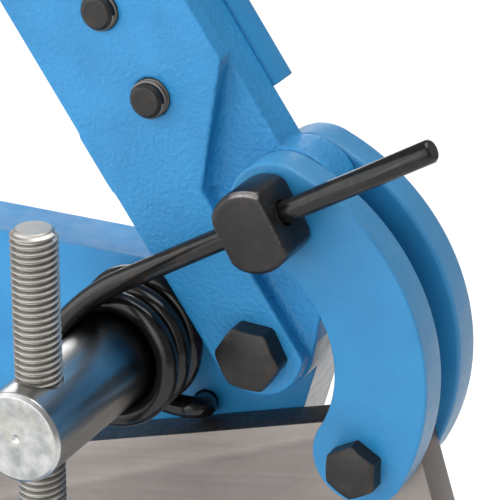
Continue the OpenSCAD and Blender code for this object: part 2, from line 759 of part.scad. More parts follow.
frame_plate();
bed_bar();
near_foot();
far_foot();
foot_bolts();
foot_nuts();
lower_blade();
lower_blade_bolts();
upper_blade();
blade_pivot_bolt();
blade_pivot_washer();
blade_pivot_nut();
near_link();
far_link();
link_bolt();
link_nut();
lever_head();
lever_pivot_bolt();
lever_pivot_washer();
lever_pivot_nut();
spring_pin();
pin_washer();
pin_clip();
return_spring();
hold_down_bar();
hold_down_nut();
hold_down_screw();
handle_bar();
handle_bolts();
handle_tube();
handle_rivet();
handle_grip();
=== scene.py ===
"""Looks of a bench lever shear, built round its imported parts: finishes, soft edges, threads and studio."""

import logging
import math
from dataclasses import dataclass
from enum import Enum
from typing import Any, Sequence

import bmesh
import bpy
from mathutils import Matrix, Vector


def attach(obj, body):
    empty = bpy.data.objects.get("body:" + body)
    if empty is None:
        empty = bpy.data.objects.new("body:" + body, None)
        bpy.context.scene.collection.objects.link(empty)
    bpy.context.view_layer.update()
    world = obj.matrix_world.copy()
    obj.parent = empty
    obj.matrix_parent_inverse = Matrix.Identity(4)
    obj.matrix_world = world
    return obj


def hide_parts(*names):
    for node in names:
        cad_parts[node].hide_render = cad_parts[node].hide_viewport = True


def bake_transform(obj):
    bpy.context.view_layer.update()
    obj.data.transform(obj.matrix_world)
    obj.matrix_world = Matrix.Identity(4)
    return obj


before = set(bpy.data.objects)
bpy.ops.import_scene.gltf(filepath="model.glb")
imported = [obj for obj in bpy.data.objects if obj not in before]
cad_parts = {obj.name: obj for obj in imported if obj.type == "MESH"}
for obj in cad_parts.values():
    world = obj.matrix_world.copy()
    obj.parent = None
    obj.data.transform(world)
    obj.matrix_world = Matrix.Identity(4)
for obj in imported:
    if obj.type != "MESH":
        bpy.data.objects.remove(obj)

log = logging.getLogger("bench_shear")

MM = 0.001
PIVOT = Vector((80.0, -9.2, 200.0))
NODE_SAMPLES = 6
NOISE_ROUGHNESS = 0.55
EDGE_COSINES = (0.97, 0.75)
CORNER_SHADE_LEVELS = (0.8, 0.35)
ROUND_STEPS = 48
JOIN = 1e-6
Colour = tuple[float, float, float]


def place(x: float, y: float, z: float) -> Vector:
    """Turns a point measured from the lever pivot into the part's frame.

    Args:
        x: Distance along the blades, in millimetres.
        y: Distance behind the shear plane, in millimetres.
        z: Height above the lever pivot, in millimetres.

    Returns:
        The point in metres.
    """
    return (PIVOT + Vector((x, y, z))) * MM


def turned(x: float, z: float, degrees: float) -> tuple[float, float]:
    """Turns a point in the X and Z plane about the lever pivot.

    Args:
        x: First coordinate, in millimetres.
        z: Second coordinate, in millimetres.
        degrees: Turn from X towards Z.

    Returns:
        The turned point.
    """
    c, s = math.cos(math.radians(degrees)), math.sin(math.radians(degrees))
    return x * c - z * s, x * s + z * c


class Body(Enum):
    """Names of the moving bodies."""

    FRAME = "frame"
    LEVER = "lever"
    BLADE = "blade"
    LINKS = "links"
    PIN = "pin"
    SPRING = "spring"
    HOLD_DOWN = "hold_down"


class Axis(Enum):
    """Directions a round piece can run along."""

    BACK = (0.0, 1.0, 0.0)
    UP = (0.0, 0.0, 1.0)


@dataclass(frozen=True)
class Layout:
    """Sizes that the pieces share, in millimetres from the lever pivot."""

    lean: float = 34.3
    pin: tuple[float, float] = (7.517, 41.685)
    link: tuple[float, float] = (30.747, -23.559)
    bar: tuple[float, float] = (-35.191, -4.31)
    cheek_front: float = -5.5
    link_front: float = -10.25
    frame_near: float = 12.5
    arm_y: float = -18.0
    arm_slope: float = 30.0
    coil_y: float = -21.0
    screw_y: float = -55.0
    screw_top: float = 46.8
    screw_len: float = 130.0
    blade_slope: float = 17.0
    blade_grain: float = 10.6
    coil_mouth: tuple[float, float] = (-38.0, -27.0)
    frame_lean: float = 15.5


LAYOUT = Layout()


@dataclass(frozen=True)
class Pattern:
    """A noise pattern, and the part of its range that counts."""

    scale: float
    detail: float
    low: float
    high: float


class Graph:
    """A material's node graph, with short calls for adding and joining nodes."""

    def __init__(self, name: str) -> None:
        """Makes an empty material with an output and a shader.

        Args:
            name: The material's name.
        """
        self.material = bpy.data.materials.new(name)
        self.material.use_nodes = True
        self.tree = self.material.node_tree
        self.tree.nodes.clear()
        self.shader = self.add("ShaderNodeBsdfPrincipled")
        out = self.add("ShaderNodeOutputMaterial")
        self.join(self.shader.outputs["BSDF"], out.inputs["Surface"])
        self.coords = self.add("ShaderNodeTexCoord").outputs["Object"]

    def add(self, kind: str, **settings: Any) -> bpy.types.Node:
        """Adds a node.

        Args:
            kind: The node's type name.
            settings: Node properties, or input values under the input's name with _ for a space.

        Returns:
            The new node.
        """
        node = self.tree.nodes.new(kind)
        for key, value in settings.items():
            if hasattr(node, key):
                setattr(node, key, value)
            else:
                node.inputs[key.replace("_", " ")].default_value = value
        return node

    def join(self, source: bpy.types.NodeSocket, target: bpy.types.NodeSocket) -> None:
        """Links an output to an input.

        Args:
            source: The output.
            target: The input.
        """
        self.tree.links.new(source, target)

    def scaled(self, scale: Sequence[float], turn: float = 0.0) -> bpy.types.NodeSocket:
        """Object coordinates turned about Y and stretched.

        Args:
            scale: Stretch along each axis.
            turn: Turn about Y, in degrees.

        Returns:
            The vector output.
        """
        spin = self.add("ShaderNodeVectorRotate", rotation_type="Y_AXIS")
        spin.inputs["Angle"].default_value = math.radians(turn)
        self.join(self.coords, spin.inputs["Vector"])
        node = self.add("ShaderNodeVectorMath", operation="MULTIPLY")
        node.inputs[1].default_value = scale
        self.join(spin.outputs["Vector"], node.inputs[0])
        return node.outputs["Vector"]

    def noise(
        self, scale: float, detail: float = 3.0, vector: bpy.types.NodeSocket | None = None
    ) -> bpy.types.NodeSocket:
        """A noise pattern.

        Args:
            scale: Waves in each metre.
            detail: Levels of finer noise.
            vector: Coordinates, or None for the object's own.

        Returns:
            The pattern, from 0 to 1.
        """
        node = self.add("ShaderNodeTexNoise", Scale=scale, Detail=detail, Roughness=NOISE_ROUGHNESS)
        self.join(vector or self.coords, node.inputs["Vector"])
        return node.outputs["Fac"]

    def ramp(
        self, value: bpy.types.NodeSocket, low: float, high: float, start: float = 0.0, end: float = 1.0
    ) -> bpy.types.NodeSocket:
        """Maps a range of a value to another range, without going past its ends.

        Args:
            value: What is mapped.
            low: Value that gives start.
            high: Value that gives end.
            start: First result.
            end: Last result.

        Returns:
            The mapped value.
        """
        node = self.add("ShaderNodeMapRange", clamp=True)
        for key, number in zip(("From Min", "From Max", "To Min", "To Max"), (low, high, start, end)):
            node.inputs[key].default_value = number
        self.join(value, node.inputs["Value"])
        return node.outputs["Result"]

    def share(self, value: bpy.types.NodeSocket, most: float) -> bpy.types.NodeSocket:
        """Limits a mask.

        Args:
            value: The mask, from 0 to 1.
            most: Its new highest value.

        Returns:
            The limited mask.
        """
        return self.ramp(value, 0.0, 1.0, 0.0, most)

    def pattern(self, kind: Pattern, start: float = 0.0, end: float = 1.0) -> bpy.types.NodeSocket:
        """A noise pattern mapped to a range.

        Args:
            kind: The pattern.
            start: First result.
            end: Last result.

        Returns:
            The mapped pattern.
        """
        return self.ramp(self.noise(kind.scale, kind.detail), kind.low, kind.high, start, end)

    def mixed(
        self, factor: bpy.types.NodeSocket, first: Any, second: Any
    ) -> bpy.types.NodeSocket:
        """Mixes two colours.

        Args:
            factor: Share of the second colour.
            first: Colour, or an output that gives one.
            second: Colour, or an output that gives one.

        Returns:
            The mixed colour.
        """
        node = self.add("ShaderNodeMix", data_type="RGBA")
        self.join(factor, node.inputs["Factor"])
        for socket, value in ((node.inputs[6], first), (node.inputs[7], second)):
            if isinstance(value, bpy.types.NodeSocket):
                self.join(value, socket)
            else:
                socket.default_value = (*value, 1.0)
        return node.outputs[2]

    def edges(self, radius: float) -> tuple[bpy.types.NodeSocket, bpy.types.NodeSocket]:
        """Rounded normals, and a mask that is 1 where an edge is near.

        Args:
            radius: Rounding, in metres.

        Returns:
            The normal and the mask.
        """
        bevel = self.add("ShaderNodeBevel", samples=NODE_SAMPLES, Radius=radius)
        flat = self.add("ShaderNodeNewGeometry")
        dot = self.add("ShaderNodeVectorMath", operation="DOT_PRODUCT")
        self.join(bevel.outputs["Normal"], dot.inputs[0])
        self.join(flat.outputs["Normal"], dot.inputs[1])
        return bevel.outputs["Normal"], self.ramp(dot.outputs["Value"], *EDGE_COSINES)

    def facing(self, way: Sequence[float], start: float, end: float) -> bpy.types.NodeSocket:
        """A mask of the surfaces that face one way in the object's own frame.

        Args:
            way: Unit direction.
            start: Cosine of the angle at which the mask is 0.
            end: Cosine of the angle at which the mask is 1.

        Returns:
            The mask.
        """
        dot = self.add("ShaderNodeVectorMath", operation="DOT_PRODUCT")
        dot.inputs[1].default_value = way
        self.join(self.add("ShaderNodeTexCoord").outputs["Normal"], dot.inputs[0])
        return self.ramp(dot.outputs["Value"], start, end)

    def radius(self, centre: Vector) -> bpy.types.NodeSocket:
        """Distance from an axis along Y.

        Args:
            centre: A point of the axis, in metres.

        Returns:
            The distance, in metres.
        """
        away = self.add("ShaderNodeVectorMath", operation="SUBTRACT")
        away.inputs[1].default_value = centre
        self.join(self.coords, away.inputs[0])
        flat = self.add("ShaderNodeVectorMath", operation="MULTIPLY")
        flat.inputs[1].default_value = (1.0, 0.0, 1.0)
        self.join(away.outputs[0], flat.inputs[0])
        size = self.add("ShaderNodeVectorMath", operation="LENGTH")
        self.join(flat.outputs[0], size.inputs[0])
        return size.outputs["Value"]

    def along(self, axis: str, low: float, high: float) -> bpy.types.NodeSocket:
        """A mask that rises from 0 to 1 along one axis.

        Args:
            axis: X, Y or Z.
            low: Coordinate at which the mask is 0, in metres.
            high: Coordinate at which the mask is 1, in metres.

        Returns:
            The mask.
        """
        split = self.add("ShaderNodeSeparateXYZ")
        self.join(self.coords, split.inputs["Vector"])
        return self.ramp(split.outputs[axis], low, high)

    def rings(self, centre: Vector, scale: float) -> bpy.types.NodeSocket:
        """Fine turned lines round an axis along Y.

        Args:
            centre: A point of the axis, in metres.
            scale: Lines in each metre.

        Returns:
            The pattern, from 0 to 1.
        """
        spread = self.add("ShaderNodeCombineXYZ")
        self.join(self.radius(centre), spread.inputs["X"])
        return self.noise(scale, 2.0, spread.outputs["Vector"])

    def painted_corner_shade(self, reach: float) -> bpy.types.NodeSocket:
        """A mask of the inner corners of a piece, where shade is painted into the colour.

        Args:
            reach: How far a corner's walls count, in metres.

        Returns:
            The mask.
        """
        node = self.add(
            "ShaderNodeAmbientOcclusion", samples=NODE_SAMPLES, only_local=True, Distance=reach
        )
        return self.ramp(node.outputs["AO"], *CORNER_SHADE_LEVELS)

    def product(self, first: bpy.types.NodeSocket, second: bpy.types.NodeSocket) -> bpy.types.NodeSocket:
        """Multiplies two values.

        Args:
            first: One value.
            second: The other value.

        Returns:
            The product.
        """
        node = self.add("ShaderNodeMath", operation="MULTIPLY")
        self.join(first, node.inputs[0])
        self.join(second, node.inputs[1])
        return node.outputs[0]

    def bump(
        self,
        height: bpy.types.NodeSocket,
        strength: float,
        normal: bpy.types.NodeSocket | None = None,
        depth: float = 0.0002,
    ) -> bpy.types.NodeSocket:
        """Turns a height pattern into normals.

        Args:
            height: The pattern.
            strength: How strong it looks.
            normal: Normals that it adds to.
            depth: Height of the pattern, in metres.

        Returns:
            The normal output.
        """
        node = self.add("ShaderNodeBump", Strength=strength, Distance=depth)
        self.join(height, node.inputs["Height"])
        if normal is not None:
            self.join(normal, node.inputs["Normal"])
        return node.outputs["Normal"]

    def wire(self, **sources: bpy.types.NodeSocket) -> bpy.types.Material:
        """Joins outputs to the shader's inputs.

        Args:
            sources: Outputs under the input's name with _ for a space.

        Returns:
            The finished material.
        """
        for key, source in sources.items():
            self.join(source, self.shader.inputs[key.replace("_", " ")])
        return self.material

    def set(self, **values: Any) -> None:
        """Sets the shader's own inputs.

        Args:
            values: Values under the input's name with _ for a space.
        """
        for key, value in values.items():
            self.shader.inputs[key.replace("_", " ")].default_value = value


@dataclass(frozen=True)
class Bare:
    """Where a painted piece shows its machined metal."""

    way: tuple[float, float, float]
    start: float
    end: float
    reach: float = 1.0
    behind: float = -100.0
    colour: Colour = (0.36, 0.365, 0.37)


@dataclass(frozen=True)
class Paint:
    """Satin paint with an orange-peel surface, dulled patches, pale edges that are partly thin paint and
    partly painted highlight, painted shade in the inner corners, and a painted sheen on plate rims.
    """

    name: str
    colour: Colour = (0.017, 0.215, 0.47)
    shade: Colour = (0.013, 0.185, 0.415)
    # Pale edge colour: partly paint worn thin, partly painted highlight on the rounded edges.
    edge: Colour = (0.2, 0.3, 0.39)
    # Navy that is painted into the inner corners as painted shade.
    deep: Colour = (0.006, 0.05, 0.12)
    # Colours of the painted sheen on plate rims, higher up and lower down: a painted reflection of the pale
    # floor.
    rim_sheen: Colour = (0.075, 0.235, 0.41)
    rubbed_and_sheen: Colour = (0.26, 0.295, 0.32)
    edge_share: float = 0.35
    rim_sheen_share: float = 0.0
    corner_shade_share: float = 0.7
    peel: float = 0.55
    peel_depth: float = 0.0002
    rough: float = 0.42
    rough_low: float = 0.06
    rough_high: float = 0.1
    radius: float = 0.0007
    corner: float = 0.0025
    patches: Pattern = Pattern(60.0, 6.0, 0.38, 0.66)
    specks: Pattern = Pattern(600.0, 3.0, 0.35, 0.7)
    gloss: Pattern = Pattern(160.0, 3.0, 0.3, 0.7)
    grain: tuple[float, float] = (750.0, 5.0)
    streaks: tuple[float, float, float] = (900.0, 700.0, 120.0)
    tooling: tuple[float, float, float] = (900.0, 40.0, 900.0)
    # Heights over which the painted rim sheen turns from its upper to its lower colour.
    rim_sheen_span: tuple[float, float] = (45.0, -55.0)
    bare: Bare | None = None

    def build(self) -> bpy.types.Material:
        """Makes the material.

        Returns:
            The material.
        """
        g = Graph(self.name)
        normal, edge = g.edges(self.radius)
        body = g.mixed(g.pattern(self.patches), self.colour, self.shade)
        dull = tuple(c * 0.8 + 0.02 for c in self.colour)
        streak = g.noise(1.0, 5.0, g.scaled(self.streaks, LAYOUT.lean))
        body = g.mixed(g.ramp(streak, 0.6, 0.8, 0.0, 0.35), body, dull)
        # Painted reflection: plate rims turn greyer and paler, more so lower down, standing for the
        # reflection of the pale floor.
        if self.rim_sheen_share > 0.0:
            low = g.along("Z", *(place(0.0, 0.0, z).z for z in self.rim_sheen_span))
            rim_sheen = g.mixed(low, self.rim_sheen, self.rubbed_and_sheen)
            body = g.mixed(g.product(self.rim(g, streak), g.ramp(low, 0.0, 1.0, 0.55, 1.0)), body, rim_sheen)
        # Pale edges: partly thin, worn paint and partly painted highlight where the rounded edges catch the
        # light.
        share = g.share(g.product(edge, g.pattern(self.specks, 0.25, 1.0)), self.edge_share)
        colour = g.mixed(share, body, self.edge)
        # Painted shade: the colour darkens towards navy in the piece's own inner corners.
        colour = g.mixed(g.share(g.painted_corner_shade(self.corner), self.corner_shade_share), colour, self.deep)
        rough = g.pattern(self.gloss, self.rough - self.rough_low, self.rough + self.rough_high)
        g.set(Specular_IOR_Level=0.4)
        bumps = g.bump(g.noise(*self.grain), self.peel, normal, self.peel_depth)
        sources = {"Base_Color": colour, "Roughness": rough, "Normal": bumps}
        if self.bare is not None:
            zone = self.machined(g, self.bare)
            lines = g.ramp(g.noise(1.0, 4.0, g.scaled(self.tooling)), 0.3, 0.7)
            steel = g.mixed(lines, tuple(c * 0.75 for c in self.bare.colour), self.bare.colour)
            sources["Base_Color"] = g.mixed(zone, colour, steel)
            sources["Metallic"] = zone
        return g.wire(**sources)

    def rim(self, g: Graph, streak: bpy.types.NodeSocket) -> bpy.types.NodeSocket:
        """A mask of the rim of a plate that faces the operator, where a pale painted sheen stands for the
        reflection of the bright surroundings, broken by marks along the rim.

        Args:
            g: The material's graph.
            streak: Marks along the rim.

        Returns:
            The mask.
        """
        near = g.facing((0.0, -1.0, 0.0), 0.75, 0.35)
        far = g.facing((0.0, 1.0, 0.0), 0.75, 0.35)
        return g.product(g.product(near, far), g.ramp(streak, 0.25, 0.7, 0.4, self.rim_sheen_share))

    def machined(self, g: Graph, bare: Bare) -> bpy.types.NodeSocket:
        """A mask of the surface that was machined after painting.

        Args:
            g: The material's graph.
            bare: Where that surface is.

        Returns:
            The mask.
        """
        zone = g.facing(bare.way, bare.start, bare.end)
        close = g.ramp(g.radius(place(0.0, 0.0, 0.0)), bare.reach, bare.reach * 1.02, 1.0, 0.0)
        deep = g.along("Y", place(0.0, bare.behind, 0.0).y, place(0.0, bare.behind + 0.5, 0.0).y)
        return g.product(g.product(zone, close), deep)


@dataclass(frozen=True)
class Mark:
    """Surfaces of a metal piece that face one way and get another colour: on the blade its dark top edge, on
    the pin a painted highlight.
    """

    way: tuple[float, float, float]
    start: float
    end: float
    colour: Colour
    metallic: float


@dataclass(frozen=True)
class Metal:
    """Bare, blackened or plated steel with drawn lines, blotches, pale edges (wear, and on the bolts and the
    pin partly painted highlight) and, where asked, painted shade in its hollows.
    """

    name: str
    colour: Colour
    shade: Colour
    rough: float
    metallic: float = 1.0
    stretch: tuple[float, float, float] = (420.0, 420.0, 420.0)
    turn: float = 0.0
    lines: float = 0.08
    edge: Colour = (0.3, 0.24, 0.18)
    edge_share: float = 0.2
    radius: float = 0.0004
    rust: float = 0.0
    rust_colour: Colour = (0.07, 0.042, 0.026)
    axis: Vector | None = None
    mark: Mark | None = None
    # valley: share of painted shade in the piece's own hollows, such as thread valleys.
    valley: float = 0.0
    valley_reach: float = 0.0014
    valley_painted_shade: Colour = (0.03, 0.028, 0.026)
    stains: Pattern = Pattern(420.0, 6.0, 0.48, 0.68)
    specks: Pattern = Pattern(900.0, 3.0, 0.35, 0.65)
    blotches: tuple[float, float] = (120.0, 4.0)

    def build(self) -> bpy.types.Material:
        """Makes the material.

        Returns:
            The material.
        """
        g = Graph(self.name)
        normal, edge = g.edges(self.radius)
        if self.axis is None:
            line = g.noise(1.0, 5.0, g.scaled(self.stretch, self.turn))
        else:
            line = g.rings(self.axis, self.stretch[0])
        blotch = g.noise(*self.blotches)
        both = g.product(g.ramp(line, 0.25, 0.75, 0.4, 1.0), g.ramp(blotch, 0.25, 0.75, 0.6, 1.0))
        body = g.mixed(both, self.shade, self.colour)
        if self.rust > 0.0:
            stain = g.product(g.pattern(self.stains), g.ramp(blotch, 0.35, 0.6, 0.2, 1.0))
            body = g.mixed(g.share(stain, self.rust), body, self.rust_colour)
        speck = g.pattern(self.specks, 0.1, 1.0)
        # Pale edges: wear, and on the bolts and the pin also painted highlight.
        worn_and_highlit = g.share(g.product(edge, speck), self.edge_share)
        colour = g.mixed(worn_and_highlit, body, self.edge)
        rough = g.ramp(line, 0.25, 0.75, self.rough - 0.05, self.rough + 0.08)
        # Painted shade: the colour darkens in the piece's own hollows, such as the thread valleys.
        if self.valley > 0.0:
            deep = g.share(g.painted_corner_shade(self.valley_reach), self.valley)
            colour = g.mixed(deep, colour, self.valley_painted_shade)
        g.set(Metallic=self.metallic, Specular_IOR_Level=0.5)
        # Surfaces facing one way get another colour; on the pin this is a painted highlight.
        if self.mark is not None:
            mark = self.mark
            zone = g.product(g.facing(mark.way, mark.start, mark.end), g.ramp(speck, 0.1, 1.0, 0.7, 1.0))
            colour = g.mixed(zone, colour, mark.colour)
            g.join(g.ramp(zone, 0.0, 1.0, self.metallic, mark.metallic), g.shader.inputs["Metallic"])
        return g.wire(Base_Color=colour, Roughness=rough, Normal=g.bump(line, self.lines, normal))


@dataclass(frozen=True)
class Zinc:
    """Zinc plate on a round bar along Y: cloudy on its end, with a painted dark reflection of the coil where
    the bar goes into it.
    """

    name: str
    colour: Colour = (0.5, 0.5, 0.49)
    cloud: Colour = (0.27, 0.285, 0.285)
    tint: Colour = (0.36, 0.34, 0.26)
    painted_coil_reflection: Colour = (0.02, 0.022, 0.025)
    rough: float = 0.28
    end_rough: float = 0.4
    polished: Colour = (0.75, 0.75, 0.74)
    radius: float = 0.0005
    clouds: Pattern = Pattern(260.0, 5.0, 0.34, 0.66)
    tints: Pattern = Pattern(140.0, 2.0, 0.5, 0.75)
    drawing: tuple[float, float, float] = (500.0, 40.0, 500.0)

    def build(self) -> bpy.types.Material:
        """Makes the material.

        Returns:
            The material.
        """
        g = Graph(self.name)
        normal, edge = g.edges(self.radius)
        end = g.facing((0.0, -1.0, 0.0), 0.85, 0.98)
        cloudy = g.mixed(g.pattern(self.clouds), self.cloud, self.colour)
        cloudy = g.mixed(g.pattern(self.tints, 0.0, 0.5), cloudy, self.tint)
        drawn = g.noise(1.0, 4.0, g.scaled(self.drawing))
        side = g.mixed(g.ramp(drawn, 0.3, 0.7, 0.0, 0.6), self.colour, self.cloud)
        # Painted reflection: the bar darkens towards black along Y where it goes into the coil, for the
        # coil's dark reflection.
        mouth, inside = (place(0.0, y, 0.0).y for y in LAYOUT.coil_mouth)
        side = g.mixed(g.share(g.along("Y", mouth, inside), 0.85), side, self.painted_coil_reflection)
        colour = g.mixed(end, side, cloudy)
        colour = g.mixed(g.share(edge, 0.3), colour, self.polished)
        g.set(Metallic=1.0)
        rough = g.ramp(end, 0.0, 1.0, self.rough, self.end_rough)
        return g.wire(Base_Color=colour, Roughness=rough, Normal=g.bump(g.noise(420.0, 4.0), 0.1, normal))


@dataclass(frozen=True)
class Rubber:
    """Matt rubber with a fine grain."""

    name: str
    colour: Colour
    bloom: Pattern = Pattern(90.0, 3.0, 0.4, 0.75)
    gloss: Pattern = Pattern(300.0, 3.0, 0.3, 0.7)
    rough: tuple[float, float] = (0.62, 0.8)
    grain: float = 1500.0

    def build(self) -> bpy.types.Material:
        """Makes the material.

        Returns:
            The material.
        """
        g = Graph(self.name)
        pale = tuple(c * 1.8 + 0.01 for c in self.colour)
        colour = g.mixed(g.pattern(self.bloom, 0.0, 0.6), self.colour, pale)
        rough = g.pattern(self.gloss, *self.rough)
        return g.wire(Base_Color=colour, Roughness=rough, Normal=g.bump(g.noise(self.grain), 0.15))


class Finishes:
    """All finishes, made once and shared."""

    def __init__(self) -> None:
        """Makes every material."""
        self.paints()
        self.steels()
        self.plated()
        self.rubber = Rubber("grip_rubber", (0.018, 0.018, 0.018)).build()

    def paints(self) -> None:
        """Makes the blue paints, two of them with bare machined metal."""
        self.paint = Paint("blue_paint").build()
        # The links' blue is a darker copy of the same paint as the casting: painted shade on the links.
        self.plate = Paint(
            "blue_plate_shaded",
            colour=(0.016, 0.192, 0.41),
            shade=(0.013, 0.165, 0.365),
            edge_share=0.6,
            rim_sheen_share=0.9,
        ).build()
        # The handle flat's edges are paled strongly: partly worn paint, partly painted highlight.
        self.worn_and_highlit = Paint("worn_and_highlit_paint", edge_share=0.8).build()
        lean = math.radians(LAYOUT.frame_lean)
        sawn = Bare((math.cos(lean), 0.0, -math.sin(lean)), 0.98, 0.99)
        self.frame = Paint("blue_frame", bare=sawn).build()
        nose = Bare((0.94, 0.0, -0.34), 0.88, 0.95, reach=0.0141, behind=1.0)
        self.cast = Paint(
            "blue_cast", edge_share=0.06, corner_shade_share=0.4, peel=0.9, peel_depth=0.0006, bare=nose
        ).build()

    def steels(self) -> None:
        """Makes the ground blades, and the blackened bolts, pin and spring."""
        slope = math.radians(LAYOUT.blade_slope)
        scale = Mark((-math.sin(slope), 0.0, math.cos(slope)), 0.8, 0.95, (0.012, 0.012, 0.013), 0.2)
        ground = {
            "colour": (0.262, 0.238, 0.222),
            "shade": (0.165, 0.147, 0.135),
            "rough": 0.45,
            "metallic": 0.9,
            "stretch": (25.0, 900.0, 900.0),
            "lines": 0.12,
        }
        self.blade = Metal("blade_steel", turn=LAYOUT.blade_grain, mark=scale, **ground).build()
        self.level = Metal("level_steel", **ground).build()
        # Pale brown edge colour of the bolts and the spring: rubbed metal and painted highlight.
        rubbed_and_sheen = (0.13, 0.105, 0.085)
        self.black = Metal(
            "black_bolt",
            colour=(0.015, 0.0145, 0.0138),
            shade=(0.0065, 0.0062, 0.006),
            rough=0.4,
            metallic=0.35,
            lines=0.3,
            edge=rubbed_and_sheen,
            edge_share=1.0,
            radius=0.0007,
            rust=0.3,
        ).build()
        self.pin = Metal(
            "pin_steel",
            colour=(0.0125, 0.0135, 0.0145),
            shade=(0.0058, 0.0063, 0.0068),
            rough=0.34,
            metallic=0.4,
            stretch=(2600.0, 0.0, 0.0),
            lines=0.7,
            # Pale edges all round: partly worn metal, partly painted highlight.
            edge=(0.34, 0.28, 0.26),
            edge_share=1.0,
            radius=0.0012,
            rust=0.2,
            axis=place(LAYOUT.pin[0], 0.0, LAYOUT.pin[1]),
            # Painted highlight: the pin's surfaces facing up and to the front, its upper front edge, are
            # painted pale and more metallic.
            mark=Mark((-0.09, -0.707, 0.701), 0.94, 0.995, (0.27, 0.245, 0.245), 0.9),
        ).build()
        self.spring = Metal(
            "spring_wire",
            colour=(0.0105, 0.0114, 0.0122),
            shade=(0.0036, 0.0039, 0.0042),
            rough=0.17,
            metallic=0.4,
            stretch=(90.0, 600.0, 600.0),
            turn=LAYOUT.arm_slope,
            lines=0.06,
            edge=rubbed_and_sheen,
            edge_share=0.5,
            rust=0.25,
        ).build()

    def plated(self) -> None:
        """Makes the zinc plate and the two screw threads."""
        self.zinc = Metal(
            "zinc",
            colour=(0.47, 0.475, 0.465),
            shade=(0.36, 0.37, 0.37),
            rough=0.22,
            stretch=(500.0, 60.0, 500.0),
            lines=0.04,
        ).build()
        self.bar = Zinc("zinc_bar").build()
        self.stud = Metal(
            "stud_steel",
            colour=(0.525, 0.505, 0.475),
            shade=(0.35, 0.34, 0.31),
            rough=0.46,
            lines=0.1,
            rust=0.15,
            valley=0.65,
        ).build()
        self.threads = Metal(
            "worn_thread",
            colour=(0.19, 0.172, 0.16),
            shade=(0.06, 0.055, 0.05),
            rough=0.4,
            metallic=0.8,
            lines=0.1,
            rust=0.2,
            valley=0.9,
        ).build()


def stand_up(
    name: str, mesh: bpy.types.Mesh, material: bpy.types.Material, angle: float
) -> bpy.types.Object:
    """Makes an object of a mesh, shaded smooth but for its sharp edges.

    Args:
        name: The object's name.
        mesh: Its mesh.
        material: Its finish.
        angle: Edges that turn more than this stay sharp, in degrees.

    Returns:
        The object.
    """
    mesh.shade_smooth()
    mesh.set_sharp_from_angle(angle=math.radians(angle))
    mesh.materials.clear()
    mesh.materials.append(material)
    made = bpy.data.objects.new(name, mesh)
    bpy.context.scene.collection.objects.link(made)
    return made


